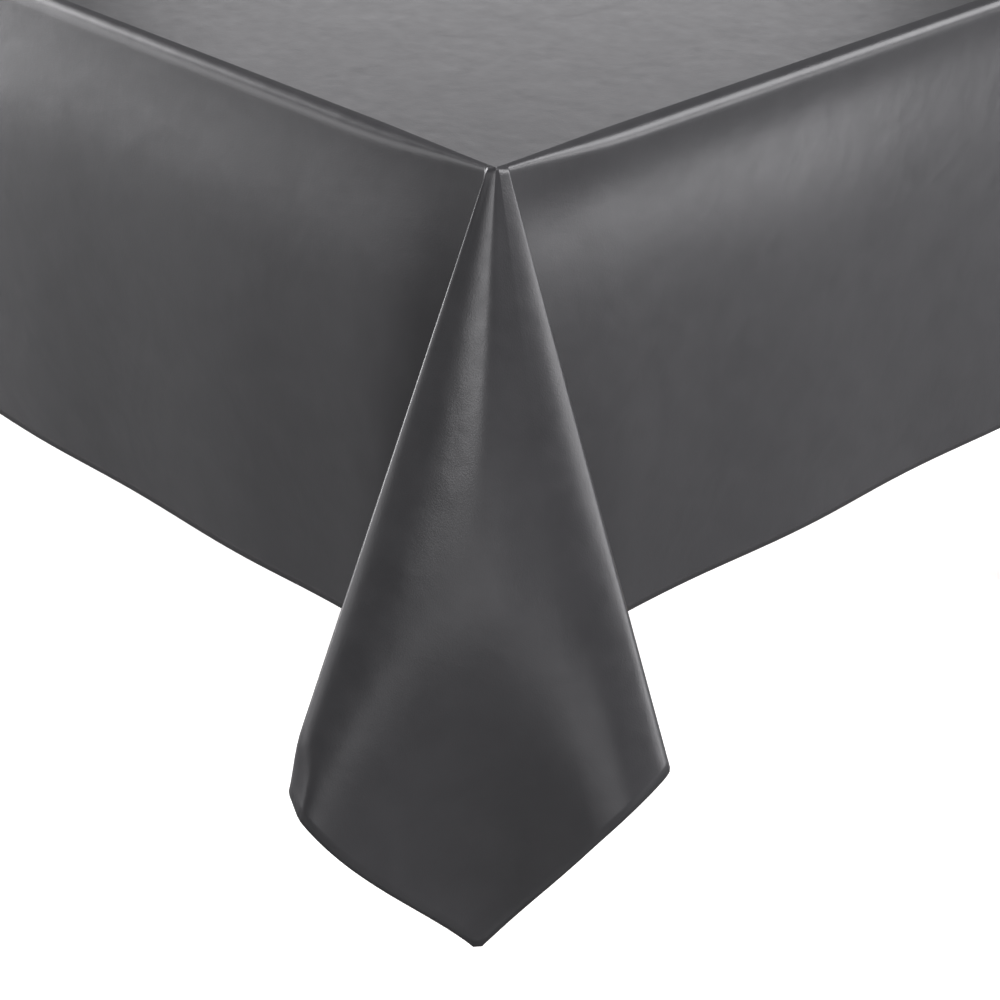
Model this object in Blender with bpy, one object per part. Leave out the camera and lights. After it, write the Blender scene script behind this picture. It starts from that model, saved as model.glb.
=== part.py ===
"""Tablecloth on a table: a leg-and-apron table under a fitted-drop vinyl cloth.

Metres, +Z up. The origin is on the floor under the middle of the table, and +X runs along the long side.
The cloth overhangs the same distance on all four sides. At each corner its spare square of material hangs
as one flute: two valleys against the hanging sides, two ridges standing out, and a hollow front face whose
lowest point is the corner of the cloth. Every fold line of a flute runs straight from the table's corner to
the hem, so the cloth keeps its cut size along each of them.
"""

from math import atan2, cos, radians, sin, sqrt

import bmesh
import bpy
from mathutils import Matrix, Vector

# Table
TABLE_LENGTH = 1.524
TABLE_WIDTH = 1.016
TABLE_HEIGHT = 0.720
TOP_THICKNESS = 0.022
TOP_BEVEL = 0.0008
FIT_GAP = 0.0003

LEG_SIDE = 0.045
LEG_INSET_ENDS = 0.102
LEG_INSET_SIDES = 0.092
LEG_BEVEL = 0.0025
GLIDE_HEIGHT = 0.005
GLIDE_RADIUS = 0.014
GLIDE_NAIL_RADIUS = 0.0018
GLIDE_NAIL_LENGTH = 0.016
GLIDE_NAIL_POINT = 0.003
GLIDE_RIM = 0.0015

RAIL_BEVEL = 0.0015
APRON_THICKNESS = 0.020
APRON_HEIGHT = 0.085
APRON_SETBACK = 0.005
CROSS_RAIL_WIDTH = 0.045
CROSS_RAIL_HEIGHT = 0.050

BRACE_HEIGHT = 0.065
BRACE_THICKNESS = 0.022
BRACE_STANDOFF = 0.015

BOLT_RADIUS = 0.004
BOLT_DEPTH = 0.030
BOLT_STICKOUT = 0.014
BOLT_CHAMFER = 0.001
WASHER_RADIUS = 0.010
WASHER_THICKNESS = 0.0016
NUT_ACROSS_FLATS = 0.013
NUT_HEIGHT = 0.0065

CLIP_WIDTH = 0.022
CLIP_GAUGE = 0.002
CLIP_FLANGE = 0.026
CLIP_TONGUE = 0.012
CLIP_DROP = 0.014
LONG_RAIL_CLIPS = (-0.45, -0.15, 0.45)
SLOT_SIDE_PLAY = 0.002
SCREW_RADIUS = 0.002
SCREW_DEPTH = 0.014
SCREW_POINT = 0.003
SCREW_HEAD_RADIUS = 0.0042
SCREW_HEAD_HEIGHT = 0.0025
OVERCUT = 0.004

# Cloth
DROP = 0.381
CLOTH_THICKNESS = 0.0012
CLOTH_LIFT = 0.0004
EDGE_STANDOFF = 0.0024
BULGE_STANDOFF = 0.010
BULGE_REACH = 0.30
EDGE_INSET = 0.010
EDGE_ROLL_DEPTH = 0.012
EDGE_SHARE = 0.85
EDGE_DIP = 0.0005

# One flute, as fold lines: angle in the flat cloth from the left side's plumb line, then the line's own
# direction: its angle out from plumb and its bearing round from the corner's diagonal (both in degrees).
FOLD_LINES = {
    "valley_left": (-3, 2.2, -124),
    "ridge_left": (26, 27.0, -41),
    "tip": (45, 11.5, 0),
    "ridge_right": (67, 21.0, 50),
    "valley_right": (93, 2.2, 124),
}
# Where each fold line starts, outward of the table's two edges at the corner (long side, short side).
FOLD_STARTS = {
    "valley_left": (-0.015, 0.0028),
    "ridge_left": (-0.005, 0.0052),
    "tip": (0.0030, 0.0030),
    "ridge_right": (0.0052, -0.005),
    "valley_right": (0.0028, -0.015),
}
FOLD_ORDER = ("valley_left", "ridge_left", "tip", "ridge_right", "valley_right")
LINES_BETWEEN = (1, 2, 2, 1)
FRONT_HOLLOW = 0.02
SIDE_STATIONS = (0.05, 0.14, 0.28, 0.5, 0.72, 0.86, 0.95)
HANGING_ROWS = 3

CORNERS = {"front_right": (1, -1), "back_right": (1, 1), "back_left": (-1, 1), "front_left": (-1, -1)}

ROUND_SIDES = 20
SMALL_ROUND_SIDES = 12
BOLT_SIDES = 16
NUT_SIDES = 24
SMOOTH_ANGLE = 35

MATERIALS = {
    "vinyl": ((0.045, 0.045, 0.048), 0.42, 0.0),
    "beech": ((0.56, 0.36, 0.20), 0.45, 0.0),
    "laminate": ((0.62, 0.43, 0.26), 0.35, 0.0),
    "zinc_steel": ((0.62, 0.62, 0.60), 0.35, 1.0),
    "nylon": ((0.10, 0.09, 0.08), 0.50, 0.0),
}


def clear_scene():
    for obj in list(bpy.data.objects):
        bpy.data.objects.remove(obj, do_unlink=True)


def make_material(name):
    color, roughness, metallic = MATERIALS[name]
    material = bpy.data.materials.new(name)
    material.use_nodes = True
    shader = material.node_tree.nodes["Principled BSDF"]
    shader.inputs["Base Color"].default_value = (*color, 1)
    shader.inputs["Roughness"].default_value = roughness
    shader.inputs["Metallic"].default_value = metallic
    return material


def add_object(name, mesh, material=None, matrix=None):
    obj = bpy.data.objects.new(name, mesh)
    if material:
        mesh.materials.append(material)
    if matrix:
        obj.matrix_world = matrix
    bpy.context.scene.collection.objects.link(obj)
    return obj


def mesh_from_bmesh(name, bm, smooth=False):
    bmesh.ops.recalc_face_normals(bm, faces=bm.faces)
    mesh = bpy.data.meshes.new(name)
    bm.to_mesh(mesh)
    bm.free()
    if smooth:
        mesh.shade_smooth()
        mesh.set_sharp_from_angle(angle=radians(SMOOTH_ANGLE))
    return mesh


def box_mesh(name, low, high, bevel=0.0):
    size = Vector(high) - Vector(low)
    middle = (Vector(high) + Vector(low)) / 2
    bm = bmesh.new()
    bmesh.ops.create_cube(bm, size=1)
    bmesh.ops.scale(bm, vec=size, verts=bm.verts)
    bmesh.ops.translate(bm, vec=middle, verts=bm.verts)
    if bevel:
        bmesh.ops.bevel(bm, geom=bm.edges, offset=bevel, segments=1, affect="EDGES")
    return mesh_from_bmesh(name, bm)


def prism_mesh(name, outline, depth):
    """A flat outline in the local XY plane, extruded up by depth."""
    bm = bmesh.new()
    face = bm.faces.new([bm.verts.new((x, y, 0)) for x, y in outline])
    extruded = bmesh.ops.extrude_face_region(bm, geom=[face])
    moved = [item for item in extruded["geom"] if isinstance(item, bmesh.types.BMVert)]
    bmesh.ops.translate(bm, vec=(0, 0, depth), verts=moved)
    return mesh_from_bmesh(name, bm)


def turned_mesh(name, profile, sides=ROUND_SIDES):
    """A closed (radius, height) profile turned about local Z. A radius of 0 is a point on the axis."""
    bm = bmesh.new()
    rings = []
    for radius, height in profile:
        if radius == 0:
            rings.append([bm.verts.new((0, 0, height))])
            continue
        steps = [radians(360 * k / sides) for k in range(sides)]
        rings.append([bm.verts.new((radius * cos(a), radius * sin(a), height)) for a in steps])
    pairs = list(zip(rings, rings[1:]))
    if len(rings[0]) > 1:
        pairs.append((rings[-1], rings[0]))
    for lower, upper in pairs:
        for k in range(sides):
            n = (k + 1) % sides
            below = [lower[k % len(lower)], lower[n % len(lower)]]
            above = [upper[n % len(upper)], upper[k % len(upper)]]
            bm.faces.new(list(dict.fromkeys(below + above)))
    return mesh_from_bmesh(name, bm, smooth=True)


def cut(target, cutter_mesh, matrix=None):
    """Cut a shape out of an object with a kept Boolean modifier."""
    cutter = add_object(f"{target.name}_cutter", cutter_mesh, matrix=matrix)
    cutter.hide_render = True
    cutter.display_type = "WIRE"
    modifier = target.modifiers.new("cut", "BOOLEAN")
    modifier.operation = "DIFFERENCE"
    modifier.solver = "EXACT"
    modifier.object = cutter


def rod_profile(radius, bottom, top):
    return [(0, bottom), (radius, bottom), (radius, top), (0, top)]


def top_underside():
    return TABLE_HEIGHT - TOP_THICKNESS


def leg_center(corner):
    sx, sy = CORNERS[corner]
    reach_x = (TABLE_LENGTH - LEG_SIDE) / 2 - LEG_INSET_ENDS
    reach_y = (TABLE_WIDTH - LEG_SIDE) / 2 - LEG_INSET_SIDES
    return sx * reach_x, sy * reach_y


def apron_inner_reach():
    """How far an apron's inner face is inside the leg's centre line."""
    return APRON_SETBACK + APRON_THICKNESS - LEG_SIDE / 2


def corner_matrix(corner, height):
    """Local +X points from the leg inwards, at 45 degrees to both rails."""
    sx, sy = CORNERS[corner]
    x, y = leg_center(corner)
    return Matrix.Translation((x, y, height)) @ Matrix.Rotation(atan2(-sy, -sx), 4, "Z")


def bolt_height():
    return top_underside() - FIT_GAP - APRON_HEIGHT / 2


def brace_span():
    """The brace's outer and inner faces, as distances along the diagonal from the leg's centre."""
    outer = LEG_SIDE / sqrt(2) + BRACE_STANDOFF
    return outer, outer + BRACE_THICKNESS


def clip_places():
    """(apron name, x, y, turn in degrees) of each clip's web; the turn points local +X to the middle."""
    reach_y = leg_center("back_right")[1] - apron_inner_reach()
    reach_x = leg_center("back_right")[0] - apron_inner_reach()
    places = []
    for x in LONG_RAIL_CLIPS:
        places.append(("apron_front", x, -reach_y, 90))
        places.append(("apron_back", -x, reach_y, -90))
    places.append(("apron_right", reach_x, 0, 180))
    places.append(("apron_left", -reach_x, 0, 0))
    return places


def build_top(materials):
    half_x, half_y = TABLE_LENGTH / 2, TABLE_WIDTH / 2
    low, high = (-half_x, -half_y, top_underside()), (half_x, half_y, TABLE_HEIGHT)
    mesh = box_mesh("table_top", low, high, TOP_BEVEL)
    top = add_object("table_top", mesh, materials["laminate"])
    hole = rod_profile(SCREW_RADIUS + FIT_GAP, -OVERCUT, SCREW_DEPTH)
    for _, x, y, turn in clip_places():
        place = Matrix.Translation((x, y, top_underside())) @ Matrix.Rotation(radians(turn), 4, "Z")
        offset = Matrix.Translation((CLIP_FLANGE / 2 + CLIP_GAUGE, 0, 0))
        cut(top, turned_mesh("screw_hole", hole, SMALL_ROUND_SIDES), place @ offset)


def build_aprons(materials):
    leg_x, leg_y = leg_center("back_right")
    half = LEG_SIDE / 2
    outer = half - APRON_SETBACK
    high = top_underside() - FIT_GAP
    low = high - APRON_HEIGHT
    end_x = leg_x - half - FIT_GAP
    end_y = leg_y - half - FIT_GAP
    boxes = {
        "apron_front": ((-end_x, -leg_y - outer), (end_x, -leg_y - outer + APRON_THICKNESS)),
        "apron_back": ((-end_x, leg_y + outer - APRON_THICKNESS), (end_x, leg_y + outer)),
        "apron_left": ((-leg_x - outer, -end_y), (-leg_x - outer + APRON_THICKNESS, end_y)),
        "apron_right": ((leg_x + outer - APRON_THICKNESS, -end_y), (leg_x + outer, end_y)),
    }
    aprons = {}
    for name, (near, far) in boxes.items():
        mesh = box_mesh(name, (*near, low), (*far, high), RAIL_BEVEL)
        aprons[name] = add_object(name, mesh, materials["beech"])
    slot_high = CLIP_GAUGE / 2 + FIT_GAP
    slot_deep = CLIP_TONGUE + FIT_GAP - CLIP_GAUGE
    slot_wide = CLIP_WIDTH / 2 + SLOT_SIDE_PLAY
    for apron, x, y, turn in clip_places():
        place = Matrix.Translation((x, y, clip_tongue_height())) @ Matrix.Rotation(radians(turn), 4, "Z")
        slot = box_mesh("slot", (-slot_deep, -slot_wide, -slot_high), (OVERCUT, slot_wide, slot_high))
        cut(aprons[apron], slot, place)


def build_cross_rail(materials):
    leg_y = leg_center("back_right")[1]
    reach = leg_y - apron_inner_reach() - FIT_GAP
    high = top_underside() - FIT_GAP
    half = CROSS_RAIL_WIDTH / 2
    mesh = box_mesh("cross_rail", (-half, -reach, high - CROSS_RAIL_HEIGHT), (half, reach, high), RAIL_BEVEL)
    add_object("cross_rail", mesh, materials["beech"])


def build_legs(materials):
    half = LEG_SIDE / 2
    bolt_start = LEG_SIDE / sqrt(2) - BOLT_DEPTH
    bolt_hole = rod_profile(BOLT_RADIUS + FIT_GAP, bolt_start - FIT_GAP, LEG_SIDE)
    nail_hole = rod_profile(GLIDE_NAIL_RADIUS + FIT_GAP, -OVERCUT, GLIDE_NAIL_LENGTH + FIT_GAP)
    for corner in CORNERS:
        x, y = leg_center(corner)
        low = (x - half, y - half, GLIDE_HEIGHT + FIT_GAP)
        high = (x + half, y + half, top_underside() - FIT_GAP)
        name = f"leg_{corner}"
        leg = add_object(name, box_mesh(name, low, high, LEG_BEVEL), materials["beech"])
        lying = corner_matrix(corner, bolt_height()) @ Matrix.Rotation(radians(90), 4, "Y")
        cut(leg, turned_mesh("bolt_hole", bolt_hole, BOLT_SIDES), lying)
        foot = Matrix.Translation((x, y, GLIDE_HEIGHT))
        cut(leg, turned_mesh("nail_hole", nail_hole, SMALL_ROUND_SIDES), foot)


def build_braces(materials):
    outer, inner = brace_span()
    edge = apron_inner_reach() + FIT_GAP
    # Across the diagonal, the brace ends where its corners meet the two aprons' inner faces.
    half_outer = outer - edge * sqrt(2)
    half_inner = inner - edge * sqrt(2)
    outline = [(outer, -half_outer), (inner, -half_inner), (inner, half_inner), (outer, half_outer)]
    hole = rod_profile(BOLT_RADIUS + FIT_GAP, outer - OVERCUT, inner + OVERCUT)
    for corner in CORNERS:
        name = f"corner_brace_{corner}"
        place = corner_matrix(corner, bolt_height() - BRACE_HEIGHT / 2)
        brace = add_object(name, prism_mesh(name, outline, BRACE_HEIGHT), materials["beech"], place)
        lying = corner_matrix(corner, bolt_height()) @ Matrix.Rotation(radians(90), 4, "Y")
        cut(brace, turned_mesh("bolt_hole", hole, BOLT_SIDES), lying)


def ring_profile(inner_radius, outer_radius, bottom, top):
    return [(inner_radius, bottom), (outer_radius, bottom), (outer_radius, top), (inner_radius, top)]


def nut_mesh(name, bottom):
    """A hexagonal nut with a round hole, its flats kept exactly across NUT_ACROSS_FLATS."""
    bore = BOLT_RADIUS + FIT_GAP
    top = bottom + NUT_HEIGHT
    bm = bmesh.new()
    rings = []
    for height, round_hole in ((bottom, True), (bottom, False), (top, False), (top, True)):
        ring = []
        for k in range(NUT_SIDES):
            angle = radians(360 * k / NUT_SIDES)
            from_flat = (angle + radians(30)) % radians(60) - radians(30)
            radius = bore if round_hole else NUT_ACROSS_FLATS / 2 / cos(from_flat)
            ring.append(bm.verts.new((radius * cos(angle), radius * sin(angle), height)))
        rings.append(ring)
    for lower, upper in zip(rings, rings[1:] + rings[:1]):
        for k in range(NUT_SIDES):
            n = (k + 1) % NUT_SIDES
            bm.faces.new((lower[k], lower[n], upper[n], upper[k]))
    return mesh_from_bmesh(name, bm)


def build_leg_fasteners(materials):
    inner = brace_span()[1]
    bolt_start = LEG_SIDE / sqrt(2) - BOLT_DEPTH
    washer_at = inner + FIT_GAP
    nut_at = washer_at + WASHER_THICKNESS + FIT_GAP
    bolt_end = inner + BOLT_STICKOUT
    end_radius = BOLT_RADIUS - BOLT_CHAMFER
    bolt = [(0, bolt_start), (end_radius, bolt_start), (BOLT_RADIUS, bolt_start + 2 * BOLT_CHAMFER)]
    bolt += [(BOLT_RADIUS, bolt_end - BOLT_CHAMFER), (end_radius, bolt_end), (0, bolt_end)]
    washer = ring_profile(BOLT_RADIUS + FIT_GAP, WASHER_RADIUS, washer_at, washer_at + WASHER_THICKNESS)
    for corner in CORNERS:
        lying = corner_matrix(corner, bolt_height()) @ Matrix.Rotation(radians(90), 4, "Y")
        steel = materials["zinc_steel"]
        add_object(f"hanger_bolt_{corner}", turned_mesh("hanger_bolt", bolt, BOLT_SIDES), steel, lying)
        add_object(f"washer_{corner}", turned_mesh("washer", washer), steel, lying)
        add_object(f"nut_{corner}", nut_mesh("nut", nut_at), steel, lying)


def build_glides(materials):
    nail_end = GLIDE_HEIGHT + GLIDE_NAIL_LENGTH
    profile = [(0, 0), (GLIDE_RADIUS - GLIDE_RIM, 0), (GLIDE_RADIUS, GLIDE_RIM), (GLIDE_RADIUS, GLIDE_HEIGHT)]
    profile += [(GLIDE_NAIL_RADIUS, GLIDE_HEIGHT), (GLIDE_NAIL_RADIUS, nail_end - GLIDE_NAIL_POINT)]
    profile += [(0, nail_end)]
    for corner in CORNERS:
        x, y = leg_center(corner)
        mesh = turned_mesh("foot_glide", profile)
        add_object(f"foot_glide_{corner}", mesh, materials["nylon"], Matrix.Translation((x, y, 0)))


def clip_tongue_height():
    """The middle of the tongue that sits in the apron's slot."""
    return top_underside() - FIT_GAP - CLIP_DROP + CLIP_GAUGE / 2


def clip_mesh(name):
    """A Z-shaped strip: tongue in the apron, web, and flange under the top. Local Z is up."""
    high = -FIT_GAP
    low = high - CLIP_DROP
    web = FIT_GAP
    outline = [
        (web, high),
        (web, low + CLIP_GAUGE),
        (CLIP_GAUGE - CLIP_TONGUE, low + CLIP_GAUGE),
        (CLIP_GAUGE - CLIP_TONGUE, low),
        (web + CLIP_GAUGE, low),
        (web + CLIP_GAUGE, high - CLIP_GAUGE),
        (CLIP_FLANGE, high - CLIP_GAUGE),
        (CLIP_FLANGE, high),
    ]
    mesh = prism_mesh(name, outline, CLIP_WIDTH)
    mesh.transform(Matrix.Translation((0, CLIP_WIDTH / 2, 0)) @ Matrix.Rotation(radians(90), 4, "X"))
    return mesh


def build_clips(materials):
    steel = materials["zinc_steel"]
    seat = -FIT_GAP - CLIP_GAUGE - FIT_GAP
    crown = seat - SCREW_HEAD_HEIGHT
    shoulder = seat - SCREW_HEAD_HEIGHT * 0.4
    screw_end = SCREW_DEPTH - CLIP_GAUGE
    screw = [(0, crown), (SCREW_HEAD_RADIUS * 0.7, crown), (SCREW_HEAD_RADIUS, shoulder)]
    screw += [(SCREW_HEAD_RADIUS, seat), (SCREW_RADIUS, seat)]
    screw += [(SCREW_RADIUS, screw_end - SCREW_POINT), (0, screw_end)]
    hole = rod_profile(SCREW_RADIUS + FIT_GAP, -CLIP_GAUGE - OVERCUT, OVERCUT)
    for number, (_, x, y, turn) in enumerate(clip_places(), 1):
        place = Matrix.Translation((x, y, top_underside())) @ Matrix.Rotation(radians(turn), 4, "Z")
        screw_place = place @ Matrix.Translation((CLIP_FLANGE / 2 + CLIP_GAUGE, 0, 0))
        clip = add_object(f"top_clip_{number}", clip_mesh("top_clip"), steel, place)
        cut(clip, turned_mesh("screw_hole", hole, SMALL_ROUND_SIDES), screw_place)
        screw_mesh = turned_mesh("clip_screw", screw, SMALL_ROUND_SIDES)
        add_object(f"clip_screw_{number}", screw_mesh, steel, screw_place)


def hem_reach(flat_angle):
    """Length from the table's corner to the hem of the square-cut cloth, along a line at this flat angle."""
    from_side = radians(flat_angle if flat_angle <= 45 else 90 - flat_angle)
    return DROP / cos(from_side)


def line_direction(out, bearing):
    """(beyond the short side, beyond the long side, down) of a line hanging out from plumb on a bearing."""
    across = sin(radians(out))
    turn = radians(bearing + 45)
    return Vector((across * sin(turn), across * cos(turn), cos(radians(out))))


def flute_lines():
    """Start and hem points of a flute's lines, from the long side round to the short side.

    Each point is (beyond the short side, beyond the long side, down) from the table's corner.
    """
    lines = []
    for index, name in enumerate(FOLD_ORDER):
        angle, out, bearing = FOLD_LINES[name]
        here = (angle, line_direction(out, bearing), Vector((*FOLD_STARTS[name], EDGE_ROLL_DEPTH)))
        if index:
            count = LINES_BETWEEN[index - 1]
            for k in range(1, count + 1):
                share = k / (count + 1)
                direction = before[1].slerp(here[1], share)
                hollow = FRONT_HOLLOW * sin(radians(180) * share) if count > 1 else 0
                direction = (direction - hollow * Vector((1, 1, 0)) / sqrt(2)).normalized()
                flat_angle = before[0] + (here[0] - before[0]) * share
                lines.append((flat_angle, direction, before[2].lerp(here[2], share)))
        lines.append(here)
        before = here
    points = []
    for flat_angle, direction, start in lines:
        end = direction * hem_reach(flat_angle)
        end.x += start.x
        end.y += start.y
        points.append((start, end))
    return points


def side_standoff(distance):
    """How far the hanging side stands off the table's edge, at a distance from the corner."""
    ease = min(distance / BULGE_REACH, 1)
    return EDGE_STANDOFF + (BULGE_STANDOFF - EDGE_STANDOFF) * ease * ease * (3 - 2 * ease)


def side_line(start, end, share):
    """A plumb line of a hanging side, part of the way along the table's edge: inner, edge, start, hem."""
    along = (end - start).normalized()
    outward = Vector((along.y, -along.x, 0))
    place = start.lerp(end, share)
    standoff = side_standoff(min(share, 1 - share) * (end - start).length)
    rows = [(-EDGE_INSET, 0), (standoff * EDGE_SHARE, EDGE_DIP)]
    rows += [(standoff, EDGE_ROLL_DEPTH), (standoff, DROP)]
    return [place + outward * beyond + Vector((0, 0, cloth_top() - down)) for beyond, down in rows]


def flute_rows(corner):
    """The flute's lines at one corner, in the order that runs counter-clockwise seen from above."""
    sx, sy = CORNERS[corner]
    points = flute_lines()
    last = len(points) - 1
    rows = []
    for index, (start, end) in enumerate(points):
        turn = radians(90) * index / last
        inset_x = -EDGE_INSET - EDGE_INSET * (1 - sin(turn))
        inset_y = -EDGE_INSET - EDGE_INSET * (1 - cos(turn))
        inner = Vector((inset_x, inset_y, 0))
        edge = Vector((start.x * EDGE_SHARE, start.y * EDGE_SHARE, EDGE_DIP))
        line = []
        for point in (inner, edge, start, end):
            x = sx * (TABLE_LENGTH / 2 + point.x)
            y = sy * (TABLE_WIDTH / 2 + point.y)
            line.append(Vector((x, y, cloth_top() - point.z)))
        rows.append(line)
    return rows if sx * sy < 0 else rows[::-1]


def cloth_top():
    return TABLE_HEIGHT + CLOTH_LIFT + CLOTH_THICKNESS


def build_cloth(materials):
    """One open sheet, made of lines that run from the flat top to the hem, thickened inwards."""
    names = list(CORNERS)
    places = [Vector((sx * TABLE_LENGTH / 2, sy * TABLE_WIDTH / 2, 0)) for sx, sy in CORNERS.values()]
    lines = []
    for index, corner in enumerate(names):
        lines += [side_line(places[index - 1], places[index], share) for share in SIDE_STATIONS]
        lines += flute_rows(corner)
    bm = bmesh.new()
    columns = []
    for inner, edge, start, hem in lines:
        points = [inner, edge] + [start.lerp(hem, share / HANGING_ROWS) for share in range(HANGING_ROWS + 1)]
        columns.append([bm.verts.new(point) for point in points])
    bm.faces.new([column[0] for column in columns])
    for left, right in zip(columns, columns[1:] + columns[:1]):
        for row in range(len(left) - 1):
            bm.faces.new((left[row], left[row + 1], right[row + 1], right[row]))
    mesh = bpy.data.meshes.new("tablecloth")
    bm.to_mesh(mesh)
    bm.free()
    cloth = add_object("tablecloth", mesh, materials["vinyl"])
    modifier = cloth.modifiers.new("thickness", "SOLIDIFY")
    modifier.thickness = CLOTH_THICKNESS
    modifier.offset = -1


def main():
    clear_scene()
    materials = {name: make_material(name) for name in MATERIALS}
    build_top(materials)
    build_aprons(materials)
    build_cross_rail(materials)
    build_legs(materials)
    build_braces(materials)
    build_leg_fasteners(materials)
    build_glides(materials)
    build_clips(materials)
    build_cloth(materials)


main()
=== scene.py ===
"""Looks for the tablecloth on a table: the draped sheet, the table's finishes and the studio."""

from math import atan2, cos, pi, radians, sin

import bmesh
import bpy
import numpy as np
from mathutils import Matrix, Vector


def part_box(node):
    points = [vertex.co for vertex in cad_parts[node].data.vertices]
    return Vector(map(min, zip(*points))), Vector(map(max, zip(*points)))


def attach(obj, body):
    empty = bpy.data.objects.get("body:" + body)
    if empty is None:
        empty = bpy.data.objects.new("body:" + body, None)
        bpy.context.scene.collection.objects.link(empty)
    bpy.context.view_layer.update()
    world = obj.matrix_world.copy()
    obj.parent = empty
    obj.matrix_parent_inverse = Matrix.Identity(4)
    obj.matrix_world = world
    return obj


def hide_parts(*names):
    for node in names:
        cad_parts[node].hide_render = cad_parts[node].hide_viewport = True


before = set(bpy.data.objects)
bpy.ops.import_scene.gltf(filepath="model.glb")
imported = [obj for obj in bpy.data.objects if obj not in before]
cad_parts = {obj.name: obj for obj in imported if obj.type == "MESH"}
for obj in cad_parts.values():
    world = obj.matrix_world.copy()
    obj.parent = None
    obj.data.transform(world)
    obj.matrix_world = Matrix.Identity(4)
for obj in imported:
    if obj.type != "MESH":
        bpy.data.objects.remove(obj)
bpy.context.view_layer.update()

# The table under the cloth, read from the frame. Lengths are in metres and angles in degrees.
_, TABLE_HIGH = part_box("table_top")
_, CLOTH_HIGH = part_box("tablecloth")
HALF_X, HALF_Y = TABLE_HIGH.x, TABLE_HIGH.y
CLOTH_TOP = CLOTH_HIGH.z

# The sheet: how much hangs over the table's edge, and how finely it is divided.
DROP = 0.381
SHEET_THICKNESS = 0.0009
INNER_INSET = 0.012
SIDE_STEP = 0.018
FLUTE_LINES = 170
HANGING_ROWS = 44
# Metres of cloth from the table's edge to the close rows over it. Even rows go on from there to the hem.
CLOSE_ROWS = (
    0, 0.0008, 0.0018, 0.0030, 0.0042, 0.0056, 0.0072, 0.0090, 0.0110, 0.0130, 0.0150, 0.0175,
    0.0205, 0.024, 0.028, 0.033, 0.039, 0.046, 0.054
)
EVEN_ROWS_START = 0.063

CORNERS = {"front_right": (1, -1), "back_right": (1, 1), "back_left": (-1, 1), "front_left": (-1, -1)}

# Over the table's edge and down a side: metres of cloth from the edge, then degrees out from plumb.
EDGE_START = -0.0025
EDGE_ROLL = ((0, 80), (0.0035, 71), (0.0060, 56), (0.0085, 37), (0.0125, 21), (0.0160, 0))
SIDE_FLARE = {
    "long": (
        (0, 0), (0.013, 2), (0.022, 5), (0.052, 8), (0.080, 7.5), (0.125, 3), (0.2, 0),
        (0.3, -1.2), (DROP, -1.6)
    ),
    "short": (
        (0, 0), (0.014, -6), (0.022, -6), (0.036, 2), (0.052, 8), (0.080, 7.5), (0.125, 3.5), (0.2, 0.6),
        (0.3, -0.6), (DROP, -0.9)
    ),
}
# Beside a corner the roll over the edge is tighter, by this factor, and the flare is weaker. Both reach their
# full size at these distances along the side.
ROLL_AT_CORNER = 0.3
FULL_ROLL_AT = 0.12
FULL_FLARE_AT = {"long": 0.07, "short": 0.028}
# Degrees that a side leans out beside the corner, where that starts to fade and over what distance, and the
# length of cloth below the edge over which it comes in.
CORNER_LEAN = {"long": 0.0, "short": -1.5}
LEAN_FADE = (0.08, 0.30)
LEAN_ONSET = 0.04
# A side's slow waves at the hem: how far they go in and out, their lengths and the distance from a corner
# over which they start. The first side takes this random seed, and each next side the next one.
SWAY = 0.004
SWAY_LENGTHS = (0.55, 0.34)
SWAY_ONSET = 0.25
SWAY_SEED = 11
# A side's columns start this far from the corner. Those nearer to it than FAN_END fan away from it towards
# the hem, like the flute's first line beside them: in full at CORNER_GAP from the corner.
FIRST_COLUMN = 0.020
CORNER_GAP = 0.009
FAN_END = 0.14

# A flute's fold lines: flat angle from the long side's plumb line, then how far the line hangs out from plumb
# and its bearing round from the corner's diagonal, then the half-width of cloth the fold is rounded over.
LONG_FLANK = ((-30, 30, -135, 1), (-9, 9, -135, 1.5), (-4, 4.2, -133, 2.5), (27.6, 24.9, -47.0, 1.3))
SHORT_FLANK = ((67.5, 22.0, 48.9, 1.5), (94, 4.2, 133, 2.5), (99, 9, 135, 1.5), (120, 30, 135, 1))
# Which way the face between the two ridges looks, at the top and lower down: flat angle, then degrees from
# the diagonal towards the short side, before the small turn that flute_folds adds to all of them.
FACE_ABOVE = (
    (27, -62), (28.3, -46), (29.5, -34), (34, -29), (38, -21), (43, -14), (45.5, -9), (49, 9),
    (51, 12), (60, 13), (63, 24), (65, 36), (67.5, 44)
)
FACE_BELOW = (
    (27, -62), (28.3, -50), (30, -38), (33, -30), (35, -22), (39, -14), (45, -6), (52, 6),
    (61, 9), (64, 16), (66, 24), (67.5, 32)
)
# Those ways are averaged over this many degrees either side. The first turns into the second between these
# lengths of cloth, and the face's lines are rounded over this half-width.
FACE_SOFTNESS = 1.0
FACE_CHANGES = (0.14, 0.36)
FACE_ROUNDING = 1.3
# How finely the face is worked out: its lines, the samples in each average way and the steps in each average
# direction to either side. Then the gather and turn that the solving starts from, its trial changes to them,
# and how often it corrects them.
FACE_LINES = 41
LOOK_SAMPLES = 7
ROUNDING_STEPS = 6
FIRST_GATHER_AND_TURN = (0.9, 0.0)
TRIAL_CHANGES = (0.01, 1.0)
CORRECTIONS = 8
# The flat angles of a flute's first and last line, and of the valleys where it leaves the two sides, with the
# degrees over which its lines take on the sides' hang.
SIDE_LINES = (-9, 99)
VALLEYS = (-4, 94)
VALLEY_BLEND = 14
# The face's tip pulls in and the long side's ridge turns in at the hem: the flat angles where each starts, is
# full, starts to fade and is gone, the length of cloth where it starts and over what length it comes in, then
# how far it swings beyond the short and the long side, as a share of the line.
TIP_PULL = ((28, 46, 46.5, 63), (0.26, 0.28), (-0.0830, -0.1430))
RIDGE_END = ((14, 24, 28, 31), (0.385, 0.05), (0.0, -0.020))
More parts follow.
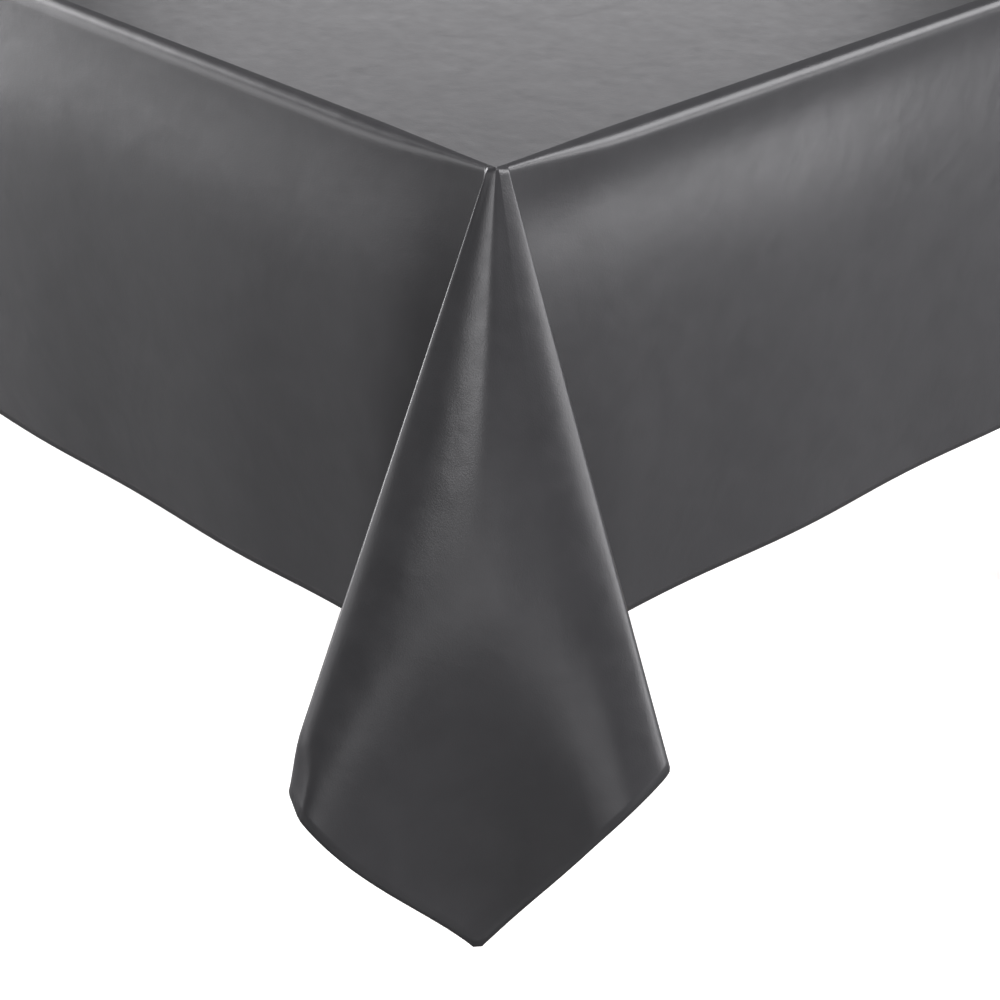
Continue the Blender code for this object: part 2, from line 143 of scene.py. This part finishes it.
# Where a flute's lines leave the table's corner: flat angle, then metres outward of the table's two edges.
LINE_STARTS = (
    (-9, -0.0090, 0.0026),
    (-4, -0.0066, 0.0028),
    (27, -0.0040, 0.0030),
    (31, -0.0015, 0.0014),
    (45, 0.0002, 0.0002),
    (58, 0.0012, -0.0012),
    (66, 0.0030, -0.0068),
    (70, 0.0032, -0.0074),
    (94, 0.0028, -0.0086),
    (99, 0.0026, -0.0100),
)
# The length of cloth over which those starts come in below the table's edge.
START_ROLL = 0.004


def smooth(value):
    value = np.clip(value, 0, 1)
    return value * value * (3 - 2 * value)


def waves(position, seed, lengths):
    """A smooth sum of sines along one or more positions, about -1 to 1."""
    rng = np.random.default_rng(seed)
    total = 0
    for length in lengths:
        phase, turn = rng.uniform(0, 2 * pi), rng.uniform(0.8, 1.2)
        total = total + np.sin(2 * pi * position / (length * turn) + phase)
    return total / len(lengths)


def fold_direction(out, bearing):
    """A unit vector as (beyond the short side, beyond the long side, down)."""
    across = sin(radians(out))
    turn = radians(bearing + 45)
    return np.array((across * sin(turn), across * cos(turn), cos(radians(out))))


def slerp(start, end, share):
    """The direction this share of the way from one direction to another."""
    angle = np.arccos(np.clip(start @ end, -1, 1))
    if angle < 1e-6:
        return start
    return (sin((1 - share) * angle) * start + sin(share * angle) * end) / sin(angle)


def sharp_direction(flat_angle, folds):
    """A line's direction where every fold is a sharp crease."""
    for (angle, direction, _), (next_angle, next_direction, _) in zip(folds, folds[1:]):
        if flat_angle <= next_angle:
            share = max((flat_angle - angle) / (next_angle - angle), 0)
            return slerp(direction, next_direction, share)
    return folds[-1][1]


def round_direction(flat_angle, folds):
    """A line's direction with the folds rounded: the mean of the sharp ones over the local half-width."""
    angles = [fold[0] for fold in folds]
    width = np.interp(flat_angle, angles, [fold[2] for fold in folds])
    total = np.zeros(3)
    for k in range(-ROUNDING_STEPS, ROUNDING_STEPS + 1):
        weight = cos(k / (ROUNDING_STEPS + 1) * pi / 2) ** 2
        total += weight * sharp_direction(flat_angle + width * k / ROUNDING_STEPS, folds)
    return total / np.linalg.norm(total)


def face_lines(looks, gather, turn):
    """Lines a degree or so apart, from the long flank's ridge, on a face that looks these ways plus a turn.

    Each step to the next line is at right angles to the face's normal, so the face does look that way there.
    The gather is how much of the cloth's own width is left across the face.
    """
    (first, out, bearing, _), last = LONG_FLANK[-1], SHORT_FLANK[0][0]
    angles = np.linspace(first, last, FACE_LINES)
    spread = np.linspace(-FACE_SOFTNESS, FACE_SOFTNESS, LOOK_SAMPLES)
    direction = fold_direction(out, bearing)
    lines = [direction]
    for angle, step in zip((angles[1:] + angles[:-1]) / 2, np.diff(angles)):
        look = radians(45 + turn + np.mean(np.interp(angle + spread, *zip(*looks))))
        out_level = np.array((sin(look), cos(look), 0))
        along_level = np.array((cos(look), -sin(look), 0))
        rise = atan2(direction @ out_level, direction[2])
        normal = cos(rise) * out_level - np.array((0, 0, sin(rise)))
        across = np.cross(normal, direction)
        across = across * np.sign(across @ along_level)
        direction = direction + radians(step) * gather * across
        direction = direction / np.linalg.norm(direction)
        lines.append(direction)
    return angles, lines


def flute_folds(looks):
    """All of a flute's folds, its face gathered and turned so that it ends on the short flank's ridge."""
    goal = fold_direction(*SHORT_FLANK[0][1:3])
    gather_and_turn = np.array(FIRST_GATHER_AND_TURN)
    for _ in range(CORRECTIONS):
        miss = face_lines(looks, *gather_and_turn)[1][-1] - goal
        trials = gather_and_turn + np.diag(TRIAL_CHANGES)
        moved = [face_lines(looks, *trial)[1][-1] - goal - miss for trial in trials]
        slopes = np.array(moved).T / TRIAL_CHANGES
        gather_and_turn = gather_and_turn - np.linalg.lstsq(slopes, miss, rcond=None)[0]
    angles, lines = face_lines(looks, *gather_and_turn)
    face = [(angle, line, FACE_ROUNDING) for angle, line in zip(angles, lines)]
    long_flank = [(angle, fold_direction(out, bearing), width) for angle, out, bearing, width in LONG_FLANK]
    short_flank = [(angle, fold_direction(out, bearing), width) for angle, out, bearing, width in SHORT_FLANK]
    return long_flank[:-1] + face[:-1] + short_flank


def line_start(flat_angle):
    """How far outward of the table's short and long edge a line starts."""
    angles = [row[0] for row in LINE_STARTS]
    return np.array([np.interp(flat_angle, angles, [row[k] for row in LINE_STARTS]) for k in (1, 2)])


def hem_reach(flat_angle):
    """The length of cloth from the table's corner to the hem, along a line at this flat angle."""
    from_side = radians(flat_angle if flat_angle <= 45 else 90 - flat_angle)
    return DROP / cos(from_side)


def row_lengths():
    """Metres of cloth from the table's edge to each row."""
    return np.concatenate((CLOSE_ROWS, np.linspace(EVEN_ROWS_START, DROP, HANGING_ROWS)))


def side_hang(distances, side):
    """How far out and down each row of a hanging side is, with the rows these distances from a corner."""
    lengths = row_lengths()
    away = smooth(distances / FULL_ROLL_AT)
    roll_size = ROLL_AT_CORNER + (1 - ROLL_AT_CORNER) * away
    slope = np.interp(lengths / roll_size, *zip(*EDGE_ROLL))
    slope = slope + smooth(distances / FULL_FLARE_AT[side]) * np.interp(lengths, *zip(*SIDE_FLARE[side]))
    fade_start, fade = LEAN_FADE
    lean = CORNER_LEAN[side] * (1 - smooth((distances - fade_start) / fade))
    slope = slope + lean * smooth(lengths / LEAN_ONSET)
    middle = np.radians((slope[1:] + slope[:-1]) / 2)
    steps = np.diff(lengths)
    out = EDGE_START * away[0] + np.concatenate(([0], np.cumsum(np.sin(middle) * steps)))
    down = np.concatenate(([0], np.cumsum(np.cos(middle) * steps)))
    return out, down


def side_columns(start, end, side, seed):
    """Columns of points down one hanging side, from one corner of the table to the next."""
    start, end = np.array(start, float), np.array(end, float)
    length = np.linalg.norm(end - start)
    along = (end - start) / length
    outward = np.array((along[1], -along[0]))
    lengths = row_lengths()
    fan = DROP * np.tan(radians(-SIDE_LINES[0]))
    count = round((length - 2 * FIRST_COLUMN) / SIDE_STEP)
    columns = []
    for k in range(count + 1):
        top_at = FIRST_COLUMN + (length - 2 * FIRST_COLUMN) * k / count
        near = min(top_at, length - top_at)
        spread = fan * (1 - smooth((near - CORNER_GAP) / (FAN_END - CORNER_GAP)))
        near_rows = near + spread * lengths / DROP
        place_rows = near_rows if top_at < length / 2 else length - near_rows
        sway = smooth(near / SWAY_ONSET) * SWAY * waves(top_at, seed, SWAY_LENGTHS) * smooth(lengths / DROP)
        out, down = side_hang(near_rows, side)
        rows = start + np.outer(place_rows, along) + np.outer(out + sway, outward)
        inner = start + along * top_at - outward * INNER_INSET
        column = [(x, y, CLOTH_TOP - h) for (x, y), h in zip(rows, down)]
        columns.append((tuple(inner), column))
    return columns


def swell(flat_angle, places):
    """How much of a local form a line at this flat angle gets, 0 to 1."""
    start, full, fade, gone = places
    return smooth((flat_angle - start) / (full - start)) * (1 - smooth((flat_angle - fade) / (gone - fade)))


def hem_swing(flat_angle, lengths):
    """How a line swings beyond the short and the long side towards the hem, as a share of its length."""
    total = np.zeros((len(lengths), 2))
    for places, (begin, onset), swing in (TIP_PULL, RIDGE_END):
        total += np.outer(smooth((lengths - begin) / onset) * swell(flat_angle, places), swing)
    return total


def flute_columns(corner):
    """Columns of points down one corner's flute, from the side before it to the side after it."""
    sx, sy = CORNERS[corner]
    lengths = row_lengths()
    columns = []
    above, below = flute_folds(FACE_ABOVE), flute_folds(FACE_BELOW)
    change_start, change_end = FACE_CHANGES
    rolled = np.sqrt(1 - (1 - np.clip(lengths / START_ROLL, 0, 1)) ** 2)
    for angle in np.linspace(*SIDE_LINES, FLUTE_LINES):
        along = hem_reach(angle) * lengths / DROP
        change = smooth((along - change_start) / (change_end - change_start))[:, None]
        line = (1 - change) * round_direction(angle, above) + change * round_direction(angle, below)
        line[:, :2] += hem_swing(angle, along)
        line = along[:, None] * line / np.linalg.norm(line, axis=1)[:, None]
        reach = [np.where(value < 0, value, value * rolled) for value in line_start(angle)]
        p, q, h = reach[0] + line[:, 0], reach[1] + line[:, 1], line[:, 2]
        if angle < 45:
            share = 1 - smooth((angle - VALLEYS[0]) / VALLEY_BLEND)
            out, down = side_hang(np.maximum(-p, 0), "long")
            q = q + share * (out - reach[1])
        else:
            share = 1 - smooth((VALLEYS[1] - angle) / VALLEY_BLEND)
            out, down = side_hang(np.maximum(-q, 0), "short")
            p = p + share * (out - reach[0])
        h = h + share * (down - lengths)
        column = [(sx * (HALF_X + a), sy * (HALF_Y + b), CLOTH_TOP - c) for a, b, c in zip(p, q, h)]
        columns.append(((sx * (HALF_X - INNER_INSET), sy * (HALF_Y - INNER_INSET)), column))
    return columns if sx * sy < 0 else columns[::-1]


def build_sheet():
    """One continuous sheet: the flat top, then a ring of columns down its sides and flutes."""
    names = list(CORNERS)
    places = [(sx * HALF_X, sy * HALF_Y) for sx, sy in CORNERS.values()]
    ring = []
    for index, name in enumerate(names):
        side = "short" if index % 2 else "long"
        ring += side_columns(places[index - 1], places[index], side, SWAY_SEED + index)
        ring += flute_columns(name)
    bm = bmesh.new()
    inner_at = {}
    columns = []
    for inner, column in ring:
        key = (round(inner[0], 5), round(inner[1], 5))
        if key not in inner_at:
            inner_at[key] = bm.verts.new((*inner, CLOTH_TOP))
        columns.append([inner_at[key]] + [bm.verts.new(point) for point in column])
    bm.faces.new(list(inner_at.values()))
    for left, right in zip(columns, columns[1:] + columns[:1]):
        for row in range(len(left) - 1):
            corners = (left[row], left[row + 1], right[row + 1], right[row])
            bm.faces.new(list(dict.fromkeys(corners)))
        bm.edges.get((left[1], right[1])).smooth = False
    mesh = bpy.data.meshes.new("vinyl_sheet")
    bm.to_mesh(mesh)
    bm.free()
    mesh.shade_smooth()
    sheet = bpy.data.objects.new("vinyl_sheet", mesh)
    bpy.context.scene.collection.objects.link(sheet)
    return sheet


class Surface:
    """A Principled material, with short ways to add the texture nodes that drive it."""

    def __init__(self, name, roughness, specular=0.5, metallic=0.0):
        self.material = bpy.data.materials.new(name)
        self.material.use_nodes = True
        self.nodes = self.material.node_tree.nodes
        self.links = self.material.node_tree.links
        self.shader = self.nodes["Principled BSDF"]
        self.shader.inputs["Roughness"].default_value = roughness
        self.shader.inputs["Specular IOR Level"].default_value = specular
        self.shader.inputs["Metallic"].default_value = metallic
        self.place = self.nodes.new("ShaderNodeTexCoord").outputs["Object"]

    def stretched(self, scale):
        """The object's metres with each axis scaled. A small scale stretches a texture along its axis."""
        mapping = self.nodes.new("ShaderNodeMapping")
        mapping.inputs["Scale"].default_value = scale
        self.links.new(self.place, mapping.inputs["Vector"])
        return mapping.outputs["Vector"]

    def noise(self, size, detail=3.0, place=None, distortion=0.0):
        """Soft noise whose blobs are about this many metres across."""
        node = self.nodes.new("ShaderNodeTexNoise")
        node.inputs["Scale"].default_value = 1 / size
        node.inputs["Detail"].default_value = detail
        node.inputs["Distortion"].default_value = distortion
        self.links.new(place or self.place, node.inputs["Vector"])
        return node.outputs["Fac"]

    def cells(self, size, place=None):
        """Rounded cells about this many metres across."""
        node = self.nodes.new("ShaderNodeTexVoronoi")
        node.inputs["Scale"].default_value = 1 / size
        self.links.new(place or self.place, node.inputs["Vector"])
        return node.outputs["Distance"]

    def ramp(self, fac, *stops):
        """Colours by position along a ramp."""
        node = self.nodes.new("ShaderNodeValToRGB")
        elements = node.color_ramp.elements
        while len(elements) < len(stops):
            elements.new(0.5)
        for element, (position, color) in zip(elements, stops):
            element.position = position
            element.color = (*color, 1)
        self.links.new(fac, node.inputs["Fac"])
        return node.outputs["Color"]

    def spread(self, fac, low, high):
        """The noise's middle range, moved to low..high."""
        node = self.nodes.new("ShaderNodeMapRange")
        node.inputs["From Min"].default_value = 0.3
        node.inputs["From Max"].default_value = 0.7
        node.inputs["To Min"].default_value = low
        node.inputs["To Max"].default_value = high
        self.links.new(fac, node.inputs["Value"])
        return node.outputs["Result"]

    def bump(self, height, depth):
        """Add relief of this depth to what the shader already has."""
        node = self.nodes.new("ShaderNodeBump")
        node.inputs["Distance"].default_value = depth
        self.links.new(height, node.inputs["Height"])
        below = self.shader.inputs["Normal"].links
        if below:
            self.links.new(below[0].from_socket, node.inputs["Normal"])
        self.links.new(node.outputs["Normal"], self.shader.inputs["Normal"])

    def color(self, socket):
        self.links.new(socket, self.shader.inputs["Base Color"])

    def roughness(self, socket):
        self.links.new(socket, self.shader.inputs["Roughness"])


def vinyl_material():
    """Dark grey satin vinyl: faint mottling, slow unevenness, short wrinkles and a fine embossed grain."""
    vinyl = Surface("vinyl", 0.31)
    mottle = vinyl.noise(0.035, 4.0, distortion=0.4)
    vinyl.color(vinyl.ramp(mottle, (0.30, (0.0215, 0.0213, 0.0232)), (0.70, (0.0270, 0.0267, 0.0288))))
    vinyl.roughness(vinyl.spread(vinyl.noise(0.012, 5.0), 0.285, 0.335))
    vinyl.bump(vinyl.noise(0.070, 2.0, distortion=0.6), 0.0006)
    vinyl.bump(vinyl.noise(0.014, 3.0, distortion=0.5), 0.00010)
    vinyl.bump(vinyl.cells(0.0011), 0.00003)
    return vinyl.material


def flannel_material():
    """Brushed pale grey flannel, with a short uneven nap."""
    flannel = Surface("flannel", 0.92, specular=0.15)
    flannel.shader.inputs["Sheen Weight"].default_value = 0.35
    flannel.shader.inputs["Sheen Roughness"].default_value = 0.5
    nap = flannel.noise(0.0016, 6.0, distortion=0.8)
    cloud = flannel.noise(0.030, 4.0)
    flannel.color(flannel.ramp(cloud, (0.3, (0.36, 0.36, 0.37)), (0.7, (0.46, 0.46, 0.47))))
    flannel.bump(nap, 0.0006)
    flannel.bump(flannel.noise(0.02, 3.0), 0.0008)
    return flannel.material


def along_axis(axis, scale):
    """Scales for a texture that is stretched along one axis."""
    scales = [1.0, 1.0, 1.0]
    scales[axis] = scale
    return scales


def wood_material(name, grain_axis, dark, light, roughness):
    """Lacquered wood with its grain along one axis: growth bands, fine fibres and short flecks."""
    wood = Surface(name, roughness, specular=0.45)
    grain = wood.stretched(along_axis(grain_axis, 0.07))
    flecked = wood.stretched(along_axis(grain_axis, 0.16))
    bands = wood.noise(0.022, 3.0, grain, distortion=1.2)
    middle = [(a + b) / 2 for a, b in zip(dark, light)]
    wood.color(wood.ramp(bands, (0.30, dark), (0.48, middle), (0.68, light)))
    wood.roughness(wood.spread(wood.noise(0.006, 4.0, grain), roughness - 0.06, roughness + 0.08))
    wood.bump(wood.noise(0.0016, 4.0, grain), 0.00012)
    wood.bump(wood.cells(0.0035, flecked), 0.00005)
    return wood.material


def steel_material():
    """Zinc-plated steel, cloudy and a little uneven."""
    steel = Surface("zinc_steel", 0.34, metallic=1.0)
    steel.color(steel.ramp(steel.noise(0.004, 4.0), (0.35, (0.52, 0.53, 0.55)), (0.65, (0.70, 0.69, 0.66))))
    steel.roughness(steel.spread(steel.noise(0.0015, 4.0), 0.26, 0.44))
    steel.bump(steel.noise(0.0009, 3.0), 0.00003)
    return steel.material


def nylon_material():
    """Dark moulded nylon with a faint grain and scuffs."""
    nylon = Surface("nylon", 0.5)
    cloud = nylon.noise(0.005, 4.0)
    nylon.color(nylon.ramp(cloud, (0.35, (0.028, 0.026, 0.024)), (0.7, (0.052, 0.049, 0.045))))
    nylon.roughness(nylon.spread(nylon.noise(0.002, 3.0), 0.42, 0.60))
    nylon.bump(nylon.noise(0.0006, 2.0), 0.00003)
    return nylon.material


# Grain axes: 0 along the table's length, 1 across it, 2 up.
BEECH = ((0.36, 0.19, 0.085), (0.56, 0.36, 0.20))
BOARD = ((0.40, 0.24, 0.12), (0.60, 0.41, 0.24))


def finish_table():
    """Give every carried-over piece of the table its material."""
    beech = [wood_material(f"beech_{axis}", axis, *BEECH, 0.42) for axis in range(3)]
    board = wood_material("board", 0, *BOARD, 0.34)
    steel, nylon = steel_material(), nylon_material()
    for name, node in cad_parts.items():
        if name.startswith("leg_"):
            material = beech[2]
        elif name in ("apron_left", "apron_right", "cross_rail"):
            material = beech[1]
        elif name in ("apron_front", "apron_back") or name.startswith("corner_brace_"):
            material = beech[0]
        elif name == "table_top":
            material = board
        elif name.startswith("foot_glide_"):
            material = nylon
        else:
            material = steel
        node.data.materials.clear()
        node.data.materials.append(material)


def area_light(name, location, target, size, power):
    """A soft panel that faces its target and that the camera doesn't see."""
    data = bpy.data.lights.new(name, "AREA")
    data.shape = "RECTANGLE"
    data.size, data.size_y = size
    data.energy = power
    data.color = SOFTBOX_COLOR
    light = bpy.data.objects.new(name, data)
    light.location = location
    light.rotation_euler = (Vector(target) - Vector(location)).to_track_quat("-Z", "Y").to_euler()
    light.visible_camera = False
    bpy.context.scene.collection.objects.link(light)


# The camera looks down past the near corner of the table, at the flute under it. Its place is in drops from
# that corner of the covered top, and its lens is in millimetres.
CAMERA_AZIMUTH, CAMERA_PITCH, CAMERA_ROLL = 45.2, 28.75, 0.84
CAMERA_PLACE = Vector((2.74, -2.70, 1.49))
CAMERA_LENS = 90


def build_camera():
    azimuth, pitch, roll = radians(CAMERA_AZIMUTH), radians(CAMERA_PITCH), radians(CAMERA_ROLL)
    forward = Vector((-sin(azimuth) * cos(pitch), cos(azimuth) * cos(pitch), -sin(pitch)))
    level = Vector((cos(azimuth), sin(azimuth), 0))
    upright = level.cross(forward)
    right = level * cos(roll) + upright * sin(roll)
    up = upright * cos(roll) - level * sin(roll)
    turn = Matrix((right, up, -forward)).transposed().to_4x4()
    data = bpy.data.cameras.new("camera")
    data.lens = CAMERA_LENS
    camera = bpy.data.objects.new("camera", data)
    place = Vector((HALF_X, -HALF_Y, CLOTH_TOP)) + DROP * CAMERA_PLACE
    camera.matrix_world = Matrix.Translation(place) @ turn
    bpy.context.scene.collection.objects.link(camera)
    bpy.context.scene.camera = camera


def show_to_camera(nodes, links, seen, other, output):
    """Send one shader to the camera's own rays and the other one to every other ray."""
    path = nodes.new("ShaderNodeLightPath")
    mix = nodes.new("ShaderNodeMixShader")
    links.new(path.outputs["Is Camera Ray"], mix.inputs["Fac"])
    links.new(other.outputs[0], mix.inputs[1])
    links.new(seen.outputs[0], mix.inputs[2])
    links.new(mix.outputs[0], nodes[output].inputs["Surface"])


def build_stage():
    """A pale floor 24 m wide, white to the camera and a mid grey to the cloth's reflections."""
    mesh = bpy.data.meshes.new("floor")
    half = 12
    corners = [(-half, -half, 0), (half, -half, 0), (half, half, 0), (-half, half, 0)]
    mesh.from_pydata(corners, [], [(0, 1, 2, 3)])
    floor = bpy.data.objects.new("floor", mesh)
    material = bpy.data.materials.new("floor")
    material.use_nodes = True
    nodes, links = material.node_tree.nodes, material.node_tree.links
    seen = nodes["Principled BSDF"]
    seen.inputs["Base Color"].default_value = (0.8, 0.8, 0.8, 1)
    seen.inputs["Roughness"].default_value = 0.9
    seen.inputs["Specular IOR Level"].default_value = 0.0
    seen.inputs["Emission Color"].default_value = (1, 1, 1, 1)
    seen.inputs["Emission Strength"].default_value = 0.75
    bounced = nodes.new("ShaderNodeBsdfDiffuse")
    bounced.inputs["Color"].default_value = (0.30, 0.30, 0.30, 1)
    show_to_camera(nodes, links, seen, bounced, "Material Output")
    mesh.materials.append(material)
    bpy.context.scene.collection.objects.link(floor)


def build_world():
    """A dim even room for the light, seen by the camera as a white background."""
    world = bpy.data.worlds.new("studio")
    bpy.context.scene.world = world
    world.use_nodes = True
    nodes, links = world.node_tree.nodes, world.node_tree.links
    room = nodes["Background"]
    room.inputs["Color"].default_value = (1, 1, 1, 1)
    room.inputs["Strength"].default_value = 0.25
    seen = nodes.new("ShaderNodeBackground")
    seen.inputs["Color"].default_value = (1, 1, 1, 1)
    seen.inputs["Strength"].default_value = 0.95
    show_to_camera(nodes, links, seen, room, "World Output")


# Softboxes round the near corner: degrees round from the camera's side, how high up, (width, height), watts.
SOFTBOXES = {
    "left_softbox": (-124, 1.15, (1.6, 2.3), 114),
    "left_low": (-84, 0.8, (2.4, 1.3), 24),
    "front_low": (9, 0.55, (2.6, 1.0), 14),
    "front_high": (-14, 1.9, (1.0, 0.8), 21),
    "right_low": (84, 0.45, (1.6, 0.8), 26),
    "right_softbox": (92, 1.7, (2.6, 1.2), 74),
    "high_softbox": (65, 2.6, (1.4, 1.0), 60),
    "back_fill": (180, 1.4, (1.4, 1.0), 6),
}
SOFTBOX_COLOR = (0.985, 0.975, 1.0)
# They stand this far round the vertical through the corner, and face a point on it.
SOFTBOX_REACH = 3.0
SOFTBOX_AIM = Vector((HALF_X, -HALF_Y, 0.55))
# A panel over the table: its place, (width, length) and watts.
OVERHEAD = ((0.5, -0.3, 3.6), (1.4, 1.0), 75)


def build_lights():
    for name, (turn, height, size, power) in SOFTBOXES.items():
        bearing = radians(turn - 45)
        place = SOFTBOX_AIM + SOFTBOX_REACH * Vector((cos(bearing), sin(bearing), 0))
        place.z = height
        area_light(name, place, SOFTBOX_AIM, size, power)
    place, size, power = OVERHEAD
    area_light("overhead_softbox", place, (place[0], place[1], 0), size, power)
    bpy.context.scene.view_settings.view_transform = "Standard"


build_camera()
finish_table()
sheet = build_sheet()
sheet.data.materials.append(vinyl_material())
sheet.data.materials.append(flannel_material())
thickness = sheet.modifiers.new("thickness", "SOLIDIFY")
thickness.thickness = SHEET_THICKNESS
thickness.offset = -1
thickness.material_offset = 1
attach(sheet, "cloth")
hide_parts("tablecloth")
build_stage()
build_world()
build_lights()
